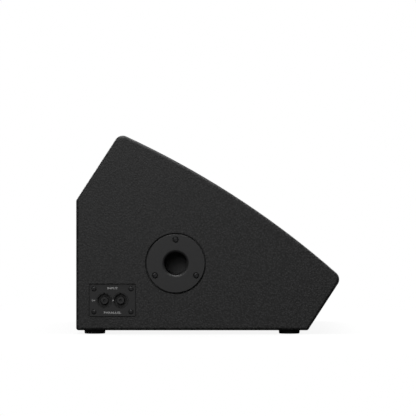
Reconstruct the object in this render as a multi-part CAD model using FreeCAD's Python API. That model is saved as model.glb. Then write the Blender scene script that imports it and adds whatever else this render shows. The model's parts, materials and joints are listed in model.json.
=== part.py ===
import FreeCAD, Part
import math
import os
from FreeCAD import Placement, Rotation, Vector

# Two-way floor monitor: a wedge-shaped plywood cabinet lying on four rubber feet.
# Millimetres. +X is the front, which the loudspeakers face, +Y runs along the cabinet and +Z is up.
# Shapes are built in the section frame, with x = 0 at the back and z = 0 at the cabinet's underside,
# and moved on export to put x = 0 at mid-depth and z = 0 under the feet. Drivers are built in the baffle frame: its origin is on the
# baffle's front face, +x runs down the slope, +y along the cabinet and +z out of the baffle.

# Cabinet
cabinet_width = 572.0
bottom_length = 370.0
back_height = 208.0
nose_height = 100.0
front_slope = 33.0
front_radius = 1390.0
crown_round = 14.0
heel_round = 4.0
edge_round = 4.6
panel_thickness = 15.0
baffle_thickness = 18.0
baffle_setback = 22.0
brace_thickness = 12.0
brace_rim = 22.0
brace_y = 56.0

# Feet
foot_height = 6.0
foot_radius = 17.0
foot_inset = 29.0
foot_inset_y = 31.0

# Pole cup, in the left side panel
pole_bore_radius = 18.2
pole_bore_depth = 85.0
pole_tube_wall = 3.0
pole_flange_radius = 46.7
pole_flange_thickness = 4.0
pole_flange_skirt = 8.5
pole_skirt_wall = 2.6
pole_gap = 2.3
pole_mouth_round = 3.9
pole_x = 158.9
pole_z = 106.7
pole_screw_circle = 38.0

# Input plate and its two sockets
plate_x = 58.1
plate_z = 47.8
pocket_width = 75.5
pocket_height = 53.4
pocket_depth = 4.0
plate_gap = 1.3
plate_thickness = 3.0
socket_pitch = 26.0
socket_bore_radius = 10.9
socket_core_radius = 6.3
socket_depth = 9.0
plate_screw_x = 29.6
plate_screw_z = 18.4

# Grille
grille_gap = 1.2
grille_setback = 2.5
grille_sheet = 1.2
grille_return = 12.0
batten_width = 18.0
grille_screw_y = (-250.0, -85.0, 85.0, 250.0)

# Carrying handle, in the back panel
handle_y = -20.0
handle_z = 112.0
handle_flange = (152.0, 92.0)
handle_well = (124.0, 64.0)
handle_well_depth = 50.0
handle_wall = 2.5
handle_flange_thickness = 3.0
grip_radius = 9.5
grip_depth = 13.0

# Loudspeakers
woofer_y = -101.0
horn_y = 163.0
woofer_outer_radius = 156.0
woofer_cutout_radius = 141.5
woofer_bolt_circle = 149.0
woofer_travel = 6.0
horn_flange = (160.0, 196.0)
horn_mouth = (122.0, 158.0)
horn_depth = 92.0
throat_radius = 12.7
port_offset = 125.0
port_radius = 32.0
port_length = 72.0

# Crossover
board_x = (20.0, 96.0)
board_y = (80.0, 230.0)
board_z = 23.0
board_thickness = 1.6
lead_landings = (104.0, 120.0, 136.0)
lead_radius = 2.6
lead_connector_reach = 12.0

fit_gap = 0.05
sin_slope = math.sin(math.radians(front_slope))
cos_slope = math.cos(math.radians(front_slope))
half_width = cabinet_width / 2.0
inner_half_width = half_width - panel_thickness
UP = Vector(0, 0, 1)
down_slope = Rotation(Vector(0, 1, 0), front_slope)


# ---------------------------------------------------------------- helpers


def face_of(edges):
    return Part.Face(Part.Wire(Part.__sortEdges__(edges)))


def polygon_face(points):
    return Part.Face(Part.makePolygon(points + [points[0]]))


def prism_xz(points, y_low, y_high):
    """A section outline, as (x, z) points, extruded along the cabinet."""
    face = polygon_face([Vector(x, y_low, z) for x, z in points])
    return face.extrude(Vector(0, y_high - y_low, 0))


def turned(points):
    """A closed (radius, height) outline turned about +Z."""
    face = polygon_face([Vector(r, 0, z) for r, z in points])
    return face.revolve(Vector(0, 0, 0), UP, 360)


def tube(outer, inner, low, high):
    return turned([(inner, low), (outer, low), (outer, high), (inner, high)])


def cylinder(radius, low, high, x=0.0, y=0.0):
    return Part.makeCylinder(radius, high - low, Vector(x, y, low), UP)


def box(x_low, x_high, y_low, y_high, z_low, z_high):
    return Part.makeBox(x_high - x_low, y_high - y_low, z_high - z_low, Vector(x_low, y_low, z_low))


def rounded_slab(size_x, size_y, corner, low, high):
    """A slab centred on the Z axis, with rounded upright corners."""
    slab = box(-size_x / 2, size_x / 2, -size_y / 2, size_y / 2, low, high)
    upright = [e for e in slab.Edges if abs(e.tangentAt(e.FirstParameter).z) > 0.99]
    return slab.makeFillet(corner, upright)


def edges_at_height(shape, height):
    return [e for e in shape.Edges
            if abs(e.BoundBox.ZMin - height) < 1e-4 and abs(e.BoundBox.ZMax - height) < 1e-4]


def group(shapes):
    return Part.makeCompound(shapes)


def placed(shape, position, rotation=Rotation()):
    """A copy of a shape, turned about the origin and then moved to position."""
    copy = shape.copy()
    copy.Placement = Placement(Vector(*position), rotation).multiply(copy.Placement)
    return copy


def facing(shape, position, outward):
    """Places a shape made along +Z so that its +Z points outward."""
    return placed(shape, position, Rotation(UP, Vector(*outward)))


def on_panel(shape, position, outward):
    """Places a shape drawn in an upright panel's plane: its +Z points outward and its +Y points up."""
    normal = Vector(*outward)
    return placed(shape, position, Rotation(UP.cross(normal), UP, normal, "ZYX"))


def circle_points(radius, count, start=90.0):
    angles = [math.radians(start + 360.0 * i / count) for i in range(count)]
    return [(radius * math.cos(a), radius * math.sin(a)) for a in angles]


def screw(head_radius, head_height, shank_radius, length, recess="cross"):
    """Domed-head screw along -Z with its head's underside at z = 0."""
    crown = head_height * 0.55
    head = turned([(0, 0), (head_radius, 0), (head_radius, head_height - crown),
                   (head_radius * 0.8, head_height - crown * 0.3), (head_radius * 0.45, head_height),
                   (0, head_height)])
    shank = turned([(0, 0), (shank_radius, 0), (shank_radius, -length + shank_radius), (0, -length)])
    body = head.fuse(shank)
    depth = head_height * 0.65
    if recess == "cross":
        reach = head_radius * 0.58
        slot = head_radius * 0.13
        body = body.cut(box(-reach, reach, -slot, slot, head_height - depth, head_height + 1))
        body = body.cut(box(-slot, slot, -reach, reach, head_height - depth, head_height + 1))
    else:
        hexagon = [Vector(x, y, head_height - depth) for x, y in circle_points(head_radius * 0.42, 6)]
        body = body.cut(polygon_face(hexagon).extrude(Vector(0, 0, depth + 1)))
    return body


# ---------------------------------------------------------------- cabinet section


def meet(point_a, direction_a, point_b, direction_b):
    """Where two lines of the section cross."""
    cross = direction_a[0] * direction_b[1] - direction_a[1] * direction_b[0]
    dx = point_b[0] - point_a[0]
    dz = point_b[1] - point_a[1]
    along = (dx * direction_b[1] - dz * direction_b[0]) / cross
    return (point_a[0] + along * direction_a[0], point_a[1] + along * direction_a[1])


across = (sin_slope, cos_slope)
downhill = (cos_slope, -sin_slope)
heel = (0.0, 0.0)
toe = (bottom_length, 0.0)
nose_tip = (toe[0] + nose_height * across[0], toe[1] + nose_height * across[1])
shoulder = (0.0, back_height)
crown = meet(shoulder, across, nose_tip, downhill)
chord = math.hypot(nose_tip[0] - crown[0], nose_tip[1] - crown[1])
arc_drop = math.sqrt(front_radius ** 2 - (chord / 2) ** 2)



def section_point(along, outward):
    """A point of the section from its distance down the slope and its height above the chord."""
    return (crown[0] + along * downhill[0] + outward * across[0],
            crown[1] + along * downhill[1] + outward * across[1])


inner_heel = (panel_thickness, panel_thickness)
inner_toe = meet(inner_heel, (1, 0), section_point(chord - panel_thickness, 0), across)
inner_shoulder = meet(inner_heel, (0, 1), section_point(panel_thickness, 0), across)


def arc_height(along, setback=0.0):
    """Height of the curved front above its chord, or of a curve set back from it."""
    radius = front_radius - setback
    return math.sqrt(radius ** 2 - (along - chord / 2) ** 2) - arc_drop


def outline_solid(y_low, y_high):
    """The whole wedge between two places along the cabinet, with its lengthwise corners rounded."""
    corners = [Vector(x, y_low, z) for x, z in (heel, toe, nose_tip, crown, shoulder)]
    x, z = section_point(chord / 2, arc_height(chord / 2))
    edges = [Part.LineSegment(corners[0], corners[1]).toShape(),
             Part.LineSegment(corners[1], corners[2]).toShape(),
             Part.Arc(corners[2], Vector(x, y_low, z), corners[3]).toShape(),
             Part.LineSegment(corners[3], corners[4]).toShape(),
             Part.LineSegment(corners[4], corners[0]).toShape()]
    solid = face_of(edges).extrude(Vector(0, y_high - y_low, 0))
    for radius, places in ((crown_round, (corners[2], corners[3])),
                           (heel_round, (corners[0], corners[1], corners[4]))):
        lengthwise = [e for e in solid.Edges if e.BoundBox.YLength > 1.0
                      and any(abs(e.BoundBox.Center.x - p.x) + abs(e.BoundBox.Center.z - p.z) < 1e-3
                              for p in places)]
        solid = solid.makeFillet(radius, lengthwise)
    return solid


def on_baffle(shape, along, y):
    """Places a shape made in the baffle frame at a place on the baffle's front face."""
    x, z = section_point(along, -baffle_setback)
    return placed(shape, (x, y, z), down_slope)


def side_panel(side):
    """An end wall with its outer edges rounded over; side is -1 for left and 1 for right."""
    y_outer = side * half_width
    y_inner = side * inner_half_width
    panel = outline_solid(min(y_outer, y_inner), max(y_outer, y_inner))
    rim = [e for e in panel.Edges
           if abs(e.BoundBox.YMin - y_outer) < 1e-4 and abs(e.BoundBox.YMax - y_outer) < 1e-4]
    return panel.makeFillet(edge_round, rim)


def side_panel_left():
    """The end wall with the pole cup's seat and the input plate's pocket."""
    panel = side_panel(-1)
    outward = (0, -1, 0)
    face = -half_width
    seat = cylinder(pole_flange_radius + pole_gap, -pole_flange_thickness, 1)
    seat = seat.fuse(tube(pole_flange_radius + pole_gap, pole_flange_radius - pole_skirt_wall - 0.4,
                          -pole_flange_skirt - 0.5, 0))
    seat = seat.fuse(cylinder(pole_bore_radius + pole_tube_wall + 0.4, -panel_thickness - 1, 1))
    for x, y in circle_points(pole_screw_circle, 3):
        seat = seat.fuse(cylinder(2.1 + fit_gap, -panel_thickness - 1, 0, x, y))
    panel = panel.cut(on_panel(seat, (pole_x, face, pole_z), outward))
    pocket = rounded_slab(pocket_width, pocket_height, 3.0, -pocket_depth, 1)
    pocket = pocket.fuse(rounded_slab(54.0, 30.0, 4.0, -panel_thickness - 1, 0))
    for x, z in plate_screw_places():
        pocket = pocket.fuse(cylinder(1.75 + fit_gap, -panel_thickness - 1, 0, x, z))
    return panel.cut(on_panel(pocket, (plate_x, face, plate_z), outward))


def plate_screw_places():
    return [(sx * plate_screw_x, sz * plate_screw_z) for sx in (-1, 1) for sz in (-1, 1)]


def wall_panel(points):
    """A lengthwise wall: its section polygon, trimmed to the rounded wedge."""
    blank = prism_xz(points, -inner_half_width, inner_half_width)
    return blank.common(outline_solid(-inner_half_width, inner_half_width))


def beyond(point, reach=25.0):
    """A point moved outwards past the curved front, so that the wedge trims what it bounds."""
    return (point[0] + reach * across[0], point[1] + reach * across[1])


def foot_places():
    y = half_width - foot_inset_y
    front = bottom_length - foot_inset
    return {"foot_back_left": (foot_inset, -y), "foot_back_right": (foot_inset, y),
            "foot_front_left": (front, -y), "foot_front_right": (front, y)}


def bottom_panel():
    panel = wall_panel([heel, toe, inner_toe, inner_heel])
    for x, y in foot_places().values():
        panel = panel.cut(cylinder(2.1 + fit_gap, -1, 11, x, y))
    for x, y in board_corners():
        panel = panel.cut(cylinder(1.5 + fit_gap, 6, 16, x, y))
    return panel


def back_panel():
    panel = wall_panel([heel, inner_heel, inner_shoulder, shoulder])
    flange = rounded_slab(handle_flange[0] + 1.0, handle_flange[1] + 1.0, 10.5, -handle_flange_thickness, 1)
    spare = 2 * handle_wall + 0.8
    opening = rounded_slab(handle_well[0] + spare, handle_well[1] + spare, 12.9, -panel_thickness - 1, 0)
    cutter = flange.fuse(opening)
    for x, z in handle_screw_places():
        cutter = cutter.fuse(cylinder(1.75 + fit_gap, -panel_thickness - 1, 0, x, z))
    return panel.cut(on_panel(cutter, (0, handle_y, handle_z), (-1, 0, 0)))


def rear_slope_panel():
    low = section_point(panel_thickness, 0)
    return wall_panel([shoulder, inner_shoulder, beyond(low), beyond(crown)])


def nose_panel():
    low = section_point(chord - panel_thickness, 0)
    return wall_panel([toe, beyond(nose_tip), beyond(low), inner_toe])


def baffle_board():
    """The flat board that carries the drivers, cut for them and for the tee nuts."""
    board = box(panel_thickness - chord / 2, chord / 2 - panel_thickness, -inner_half_width, inner_half_width,
                -baffle_thickness, 0)
    cuts = [cylinder(woofer_cutout_radius, -baffle_thickness - 1, 1, 0, woofer_y)]
    for x, y in circle_points(woofer_bolt_circle, 8, 22.5):
        cuts.append(cylinder(3.45, -baffle_thickness - 1, 1, x, y + woofer_y))
    opening = rounded_slab(horn_mouth[0] + 11, horn_mouth[1] + 11, 15.0, -baffle_thickness - 1, 1)
    opening.translate(Vector(0, horn_y, 0))
    cuts.append(opening)
    for x, y in horn_screw_places():
        cuts.append(cylinder(1.9 + fit_gap, -baffle_thickness + 2, 1, x, y + horn_y))
    for side in (-1, 1):
        cuts.append(cylinder(port_radius + 2.5 + 0.2, -baffle_thickness - 1, 1, side * port_offset, horn_y))
    for cutter in cuts:
        board = board.cut(cutter)
    return on_baffle(board, chord / 2, 0.0)


def inner_section(inset):
    """The hollow behind the baffle as a section polygon, shrunk by inset on every side."""
    rear = baffle_setback + baffle_thickness + inset
    low_back = (panel_thickness + inset, panel_thickness + inset)
    slope_u = panel_thickness + inset
    slope_point = section_point(slope_u, 0)
    nose_point = section_point(chord - slope_u, 0)
    baffle_point = section_point(0, -rear)
    return [low_back,
            meet(low_back, (1, 0), nose_point, across),
            meet(nose_point, across, baffle_point, downhill),
            meet(slope_point, across, baffle_point, downhill),
            meet(low_back, (0, 1), slope_point, across)]


def window_brace():
    low = brace_y - brace_thickness / 2
    high = brace_y + brace_thickness / 2
    plate = prism_xz(inner_section(0.0), low, high)
    window = prism_xz(inner_section(brace_rim), low - 1, high + 1)
    upright = [e for e in window.Edges if e.BoundBox.YLength > 1.0]
    return plate.cut(window.makeFillet(8.0, upright))


# ---------------------------------------------------------------- grille


def grille_region(setback, end_inset, side_inset, depth):
    """A block under the curved front, set back from it and in from the opening's four sides."""
    start = panel_thickness + end_inset
    finish = chord - start
    y = inner_half_width - side_inset
    top = [Vector(u, -y, arc_height(u, setback)) for u in (start, chord / 2, finish)]
    low = [Vector(start, -y, -depth), Vector(finish, -y, -depth)]
    edges = [Part.Arc(*top).toShape(),
             Part.LineSegment(top[2], low[1]).toShape(),
             Part.LineSegment(low[1], low[0]).toShape(),
             Part.LineSegment(low[0], top[0]).toShape()]
    return face_of(edges).extrude(Vector(0, 2 * y, 0))


def from_chord(shape):
    """Places a shape drawn down the slope and above the chord into the section frame."""
    return placed(shape, (crown[0], 0, crown[1]), down_slope)


def grille_screw_seats():
    """(position, outward direction) of each grille screw on the grille's outer face, above the chord."""
    seats = []
    radius = front_radius - grille_setback
    for along in (panel_thickness + 12.0, chord - panel_thickness - 12.0):
        lean = (along - chord / 2) / radius
        outward = (lean, 0, math.sqrt(1 - lean ** 2))
        for y in grille_screw_y:
            seats.append(((along, y, arc_height(along, grille_setback)), outward))
    return seats


def grille():
    """The steel grille as a closed curved sheet with returned edges."""
    outer = grille_region(grille_setback, grille_gap, grille_gap, grille_return)
    outer = outer.makeFillet(2.0, [e for e in outer.Edges if e.BoundBox.ZMin > -grille_return + 1 and
                                   (e.BoundBox.YLength > 100 or e.BoundBox.XLength > 100)])
    inner = grille_region(grille_setback + grille_sheet, grille_gap + grille_sheet, grille_gap + grille_sheet,
                          grille_return + 5)
    sheet = outer.cut(inner)
    for position, outward in grille_screw_seats():
        sheet = sheet.cut(facing(cylinder(2.1, -6, 3), position, outward))
    return from_chord(sheet)


def grille_battens():
    """Two wooden strips glued on the baffle, which take the grille's screws."""
    room = grille_setback + grille_sheet + 0.15
    first = panel_thickness + grille_gap + grille_sheet + 0.6
    strips = []
    for ends in ((first, first + batten_width), (chord - first - batten_width, chord - first)):
        corners = [Vector(ends[0], 0, -baffle_setback),
                   Vector(ends[1], 0, -baffle_setback),
                   Vector(ends[1], 0, arc_height(ends[1], room)),
                   Vector(ends[0], 0, arc_height(ends[0], room))]
        y = inner_half_width - 4.0
        strip = polygon_face([c - Vector(0, y, 0) for c in corners]).extrude(Vector(0, 2 * y, 0))
        for position, outward in grille_screw_seats():
            strip = strip.cut(facing(cylinder(1.9 + fit_gap, -18, 3), position, outward))
        strips.append(from_chord(strip))
    return group(strips)


def grille_screws():
    one = screw(4.0, 2.2, 1.9, 16.0)
    return group([from_chord(facing(one, position, outward)) for position, outward in grille_screw_seats()])


# ---------------------------------------------------------------- pole cup


def pole_cup():
    """Flanged cup that takes a 35 mm pole: flush flange with a turned-in rim, straight bore, closed end."""
    bore = pole_bore_radius
    tube_radius = bore + pole_tube_wall
    depth = pole_bore_depth
    low = -depth - pole_tube_wall
    rim = pole_flange_radius
    skirt = rim - pole_skirt_wall
    cup = turned([(0, low), (tube_radius, low), (tube_radius, -pole_flange_thickness),
                  (skirt, -pole_flange_thickness), (skirt, -pole_flange_skirt), (rim, -pole_flange_skirt),
                  (rim, 0), (bore, 0), (bore, -depth), (0, -depth)])
    cup = cup.makeFillet(pole_mouth_round, [e for e in edges_at_height(cup, 0) if abs(e.BoundBox.XMax - bore) < 0.01])
    cup = cup.makeFillet(0.8, [e for e in edges_at_height(cup, 0) if e.BoundBox.XMax > rim - 0.01])
    for x, y in circle_points(pole_screw_circle, 3):
        cup = cup.cut(cylinder(2.3, -pole_flange_thickness - 1, 1, x, y))
        cup = cup.cut(cylinder(5.2, -2.4, 1, x, y))
    return on_panel(cup, (pole_x, -half_width, pole_z), (0, -1, 0))


def pole_cup_screws():
    one = screw(4.5, 2.2, 2.1, 12.0)
    return group([on_panel(placed(one, (x, y, -2.4)), (pole_x, -half_width, pole_z), (0, -1, 0))
                  for x, y in circle_points(pole_screw_circle, 3)])


# ---------------------------------------------------------------- input plate


def on_plate(shape):
    return on_panel(shape, (plate_x, -half_width, plate_z), (0, -1, 0))


def plate_front():
    return -(pocket_depth - plate_thickness)


def socket_places():
    return {"input": -socket_pitch / 2, "link": socket_pitch / 2}


def input_plate():
    front = plate_front()
    width = pocket_width - 2 * plate_gap
    height = pocket_height - 2 * plate_gap
    plate = rounded_slab(width, height, 2.4, -pocket_depth, front)
    plate = plate.makeFillet(0.3, edges_at_height(plate, front))
    for x in socket_places().values():
        plate = plate.cut(cylinder(12.45, -pocket_depth - 1, 1, x, 0))
    for x, z in plate_screw_places():
        plate = plate.cut(cylinder(1.95, -pocket_depth - 1, 1, x, z))
        plate = plate.cut(cylinder(4.3, front - 1.3, 1, x, z))
    return on_plate(plate)


def input_plate_screws():
    one = screw(3.8, 1.6, 1.75, 12.0)
    low = plate_front() - 1.3
    return group([on_plate(placed(one, (x, z, low))) for x, z in plate_screw_places()])


def socket_shell(x):
    """The round collar of a speaker socket, with two keyways for the plug's lugs."""
    front = plate_front()
    back = front - socket_depth - 2.0
    shell = turned([(socket_bore_radius, back), (12.85, back), (12.85, -pocket_depth - 0.05),
                    (12.4, -pocket_depth - 0.05), (12.4, front - 0.4), (12.0, front),
                    (socket_bore_radius, front)])
    shell = shell.cut(box(-2.6, 2.6, -11.9, 0, front - socket_depth, 1))
    shell = shell.cut(box(-1.7, 1.7, 0, 11.9, front - socket_depth, 1))
    return on_plate(placed(shell, (x, 0, 0)))


def socket_cores():
    """Each socket's closed rear disc with the centre post that carries the contacts."""
    front = plate_front()
    back = front - socket_depth - 2.0
    core = cylinder(12.85, back - 3.0, back).fuse(cylinder(socket_core_radius, back - 1, front - 1.5))
    core = core.makeChamfer(0.7, [e for e in edges_at_height(core, front - 1.5)])
    core = core.cut(cylinder(2.2, front - 6.0, 1))
    for slot in contact_blanks(0.15):
        core = core.cut(slot)
    return group([on_plate(placed(core, (x, 0, 0))) for x in socket_places().values()])


def socket_seals():
    """The face seal that a plug's nose presses on, at the bottom of each socket."""
    low = plate_front() - socket_depth - 2.0 + 0.05
    seal = tube(socket_bore_radius - 0.1, socket_core_radius + 0.1, low, low + 2.0)
    return group([on_plate(placed(seal, (x, 0, 0))) for x in socket_places().values()])


def contact_blanks(clearance):
    """Four contact strips, let into the centre post's side."""
    front = plate_front()
    half = 1.1 + clearance
    blade = box(socket_core_radius - 0.9 - clearance, socket_core_radius - 0.1 + clearance * 4, -half, half,
                front - socket_depth + 1.0, front - 3.5)
    blades = []
    for angle in (45, 135, 225, 315):
        turned_blade = blade.copy()
        turned_blade.rotate(Vector(0, 0, 0), UP, angle)
        blades.append(turned_blade)
    return blades


def socket_contacts():
    blades = contact_blanks(0.0)
    return group([on_plate(placed(blade, (x, 0, 0))) for x in socket_places().values() for blade in blades])


def socket_board():
    back = plate_front() - socket_depth - 5.0
    board = rounded_slab(53.0, 29.0, 2.0, back - 1.6, back)
    tabs = [box(x - 0.4, x + 0.4, y - 3.0, y + 3.0, back - 9.0, back - 1.6) for x, y in board_tab_places()]
    return on_plate(board.multiFuse(tabs))


def board_tab_places():
    return [(x, y) for x in (-18.0, -8.0, 8.0, 18.0) for y in (-6.0, 6.0)]


def lead_connector():
    """The push-on housing that joins the socket lead to the board's four middle tabs."""
    back = plate_front() - socket_depth - 5.0
    housing = box(-11.0, 11.0, -10.0, 10.0, back - lead_connector_reach, back - 3.0)
    for x, y in board_tab_places():
        if abs(x) < 10:
            housing = housing.cut(box(x - 0.6, x + 0.6, y - 3.2, y + 3.2, back - 9.3, back - 2.0))
    return on_plate(housing)


# ---------------------------------------------------------------- feet and handle


def foot(x, y):
    """Moulded rubber foot with a counterbored screw hole."""
    puck = turned([(0, 0), (foot_radius - 0.6, 0), (foot_radius, foot_height), (0, foot_height)])
    puck = puck.makeFillet(1.2, edges_at_height(puck, 0))
    puck = puck.cut(cylinder(2.4, -1, foot_height + 1)).cut(cylinder(6.2, -1, 3.4))
    puck.translate(Vector(x, y, -foot_height))
    return puck


def foot_screws():
    one = screw(5.0, 2.4, 2.1, 12.0)
    return group([facing(one, (x, y, -foot_height + 3.4), (0, 0, -1)) for x, y in foot_places().values()])


def handle_screw_places():
    half_x = handle_flange[0] / 2 - 6.5
    half_z = handle_flange[1] / 2 - 6.5
    return [(sx * half_x, sz * half_z) for sx in (-1, 1) for sz in (-1, 1)]


def on_back(shape):
    return on_panel(shape, (0, handle_y, handle_z), (-1, 0, 0))


def handle_dish():
    """Recessed handle: a flush flange round a deep well with drafted, rounded walls."""
    depth = handle_well_depth
    wall = handle_wall
    flange = rounded_slab(handle_flange[0], handle_flange[1], 10.0, -handle_flange_thickness, -0.2)
    outside = rounded_slab(handle_well[0] + 2 * wall, handle_well[1] + 2 * wall, 12.5, -depth - wall, -1.0)
    outside = outside.makeFillet(10.0, edges_at_height(outside, -depth - wall))
    inside = rounded_slab(handle_well[0], handle_well[1], 10.0, -depth, 1.0)
    inside = inside.makeFillet(7.5, edges_at_height(inside, -depth))
    dish = flange.fuse(outside).cut(inside)
    for x, z in handle_screw_places():
        dish = dish.cut(cylinder(1.95, -5, 1, x, z)).cut(cylinder(4.2, -1.7, 1, x, z))
    return on_back(dish)


def handle_bar():
    """The grip: a bar across the well, swollen in the middle."""
    half = handle_well[0] / 2 - 0.05
    swell = 1.5
    profile = [Vector(0, 0, -half), Vector(grip_radius - swell, 0, -half)]
    arc = Part.Arc(profile[1], Vector(grip_radius, 0, 0), Vector(grip_radius - swell, 0, half)).toShape()
    edges = [Part.LineSegment(profile[0], profile[1]).toShape(), arc,
             Part.LineSegment(Vector(grip_radius - swell, 0, half), Vector(0, 0, half)).toShape(),
             Part.LineSegment(Vector(0, 0, half), profile[0]).toShape()]
    bar = face_of(edges).revolve(Vector(0, 0, 0), UP, 360)
    return facing(bar, (grip_depth, handle_y, handle_z), (0, 1, 0))


def handle_screws():
    one = screw(3.7, 1.6, 1.75, 12.0)
    return group([on_back(placed(one, (x, z, -1.7))) for x, z in handle_screw_places()])


# ---------------------------------------------------------------- woofer


def on_woofer(shape):
    return on_baffle(shape, chord / 2, woofer_y)


def woofer_frame():
    """Cast basket with eight windows, a bolting flange and a ledge for the spider."""
    frame = turned([(134, 5), (156, 5), (156, 0), (140, 0), (140, -12), (86, -60), (84, -62), (84, -75),
                    (41, -75), (41, -72.5), (81, -72.5), (81, -63.5), (76, -63.5), (76, -60.5), (83.5, -60.5),
                    (83.5, -58.2), (137.5, -10.2), (137.5, 0), (134, 1.5)])
    window = polygon_face([Vector(80, 0, -55), Vector(150, 0, -55), Vector(150, 0, -16), Vector(80, 0, -16)])
    for i in range(8):
        opening = window.revolve(Vector(0, 0, 0), UP, 31)
        opening.rotate(Vector(0, 0, 0), UP, 45 * i + 7)
        frame = frame.cut(opening)
    for x, y in circle_points(woofer_bolt_circle, 8, 22.5):
        frame = frame.cut(cylinder(2.8, -1, 6, x, y))
    return on_woofer(frame)


def woofer_gasket():
    return on_woofer(tube(143.0, 134.6, 5.85, 9.0))


def cone_front(radius):
    """Height of the cone's front face at a radius."""
    return -49.0 + (radius - 37.45) * (52.4 / 75.55)


def woofer_cone():
    outer = 113.0
    skin = 0.9
    low = cone_front(37.45)
    high = cone_front(outer)
    return on_woofer(turned([(37.45, low - skin), (outer, high - skin), (116.5, high - skin), (116.5, high),
                             (outer, high), (37.45, low)]))


def domed_cap(rim_radius, rim_height, rise, skin):
    """A thin dome, as the part of a hollow sphere above its rim."""
    radius = (rim_radius ** 2 + rise ** 2) / (2 * rise)
    centre = Vector(0, 0, rim_height + rise - radius)
    shell = Part.makeSphere(radius, centre).cut(Part.makeSphere(radius - skin, centre))
    return shell.common(cylinder(rim_radius + 5, rim_height, rim_height + rise + 5))


def woofer_dust_cap():
    rim = 44.0
    return on_woofer(domed_cap(rim, cone_front(rim) + 0.02, 12.0, 0.8))


def wave_ring(inner, outer, height, heights, skin, lip):
    """A thin ring pressed into concentric waves of the given heights, with a flat lip outside them."""
    pitch = (outer - inner) / len(heights)
    edges = []
    for level in (0.0, skin):
        for i, rise in enumerate(heights):
            start = inner + i * pitch
            points = [Vector(start, 0, height + level), Vector(start + pitch / 2, 0, height + level + rise),
                      Vector(start + pitch, 0, height + level)]
            edges.append(Part.Arc(*points).toShape())
        edges.append(Part.LineSegment(points[2], Vector(lip, 0, height + level)).toShape())
    for radius in (inner, lip):
        edges.append(Part.LineSegment(Vector(radius, 0, height), Vector(radius, 0, height + skin)).toShape())
    return face_of(edges).revolve(Vector(0, 0, 0), UP, 360)


def woofer_surround():
    """Treated cloth edge with two half-rolls between the cone and the frame."""
    low = cone_front(113.0) + 0.02
    inner_lip = turned([(113.5, low), (117.4, low), (117.4, 5.3), (116.6, 5.3), (116.6, low + 0.8),
                        (113.5, low + 0.8)])
    return on_woofer(wave_ring(117.0, 134.0, 5.02, (4.3, 4.3), 0.8, 142.0).fuse(inner_lip))


def woofer_spider():
    """Corrugated disc that centres the coil, glued to the former and to the frame's ledge."""
    return on_woofer(wave_ring(37.5, 76.0, -60.48, (1.6, -1.6) * 3 + (1.6,), 0.5, 82.5))


def voice_coil_former():
    return on_woofer(tube(37.4, 37.0, -90.0, -48.0))


def voice_coil_winding():
    return on_woofer(tube(38.6, 37.42, -88.0, -70.0))


def woofer_top_plate():
    return on_woofer(tube(70.0, 39.6, -83.0, -75.0))


def woofer_magnet():
    return on_woofer(tube(78.0, 45.0, -103.0, -83.0))


def woofer_yoke():
    plate = turned([(10, -111), (70, -111), (72, -109), (72, -103), (36.3, -103), (36.3, -76.5), (34.8, -75),
                    (10, -75)])
    return on_woofer(plate)


def woofer_terminals():
    board = box(-13, 13, 106.9, 122, -44, -41.5)
    tabs = [box(x - 2.4, x + 2.4, 122, 130, -43.2, -42.4) for x in (-8, 8)]
    return on_woofer(board.multiFuse(tabs))


def woofer_fasteners():
    """Eight machine screws through the frame's flange and the tee nuts behind the baffle."""
    low = -baffle_thickness
    bolt = screw(4.6, 2.8, 2.5, 26.0, "hex")
    nut = tube(3.4, 2.55, low, low + 9.0).fuse(tube(8.5, 2.55, low - 1.2, low))
    pieces = []
    for x, y in circle_points(woofer_bolt_circle, 8, 22.5):
        pieces.append(on_woofer(placed(bolt, (x, y, 5.0))))
        pieces.append(on_woofer(placed(nut, (x, y, 0.0))))
    return group(pieces)


# ---------------------------------------------------------------- horn and compression driver


def on_horn(shape):
    return on_baffle(shape, chord / 2, horn_y)


def horn_screw_places():
    half_x = horn_flange[0] / 2 - 6.5
    half_y = horn_flange[1] / 2 - 6.5
    return [(sx * half_x, sy * half_y) for sx in (-1, 0, 1) for sy in (-1, 0, 1) if sx or sy]


def horn_ring(share, grow):
    """One closed section of the flare: round at the throat, nearly rectangular at the mouth."""
    height = -horn_depth + share * (horn_depth + 5.0)
    opening = share ** 1.5
    half_x = throat_radius + (horn_mouth[0] / 2 - throat_radius) * opening + grow
    half_y = throat_radius + (horn_mouth[1] / 2 - throat_radius) * opening + grow
    power = 2.0 / (2.0 + 3.5 * share)
    points = []
    for i in range(32):
        angle = 2 * math.pi * i / 32
        c = math.cos(angle)
        s = math.sin(angle)
        points.append(Vector(half_x * math.copysign(abs(c) ** power, c),
                             half_y * math.copysign(abs(s) ** power, s), height))
    curve = Part.BSplineCurve()
    curve.interpolate(Points=points, PeriodicFlag=True)
    return Part.Wire(curve.toShape())


def flare(grow, reach):
    return Part.makeLoft([horn_ring(reach * i / 6.0, grow) for i in range(7)], True, False)


def horn():
    """Moulded flare with a screwed flange at the mouth and a bolting ring at the throat."""
    flange = rounded_slab(horn_flange[0], horn_flange[1], 12.0, 0.0, 5.0)
    flange = flange.makeFillet(1.5, edges_at_height(flange, 5.0))
    keep_below = box(-120, 120, -120, 120, -horn_depth - 10, 4.0)
    throat = cylinder(40.0, -horn_depth - 6.0, -horn_depth + 0.5)
    body = flare(3.0, 1.0).common(keep_below).fuse(flange).fuse(throat)
    body = body.cut(flare(0.0, 1.02)).cut(cylinder(throat_radius - 0.2, -horn_depth - 7, -horn_depth + 3))
    for x, y in horn_screw_places():
        body = body.cut(cylinder(2.2, -1, 6, x, y))
    for x, y in circle_points(33.0, 4, 45.0):
        body = body.cut(cylinder(2.7, -horn_depth - 7, -horn_depth + 2, x, y))
    return on_horn(body)


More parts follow.
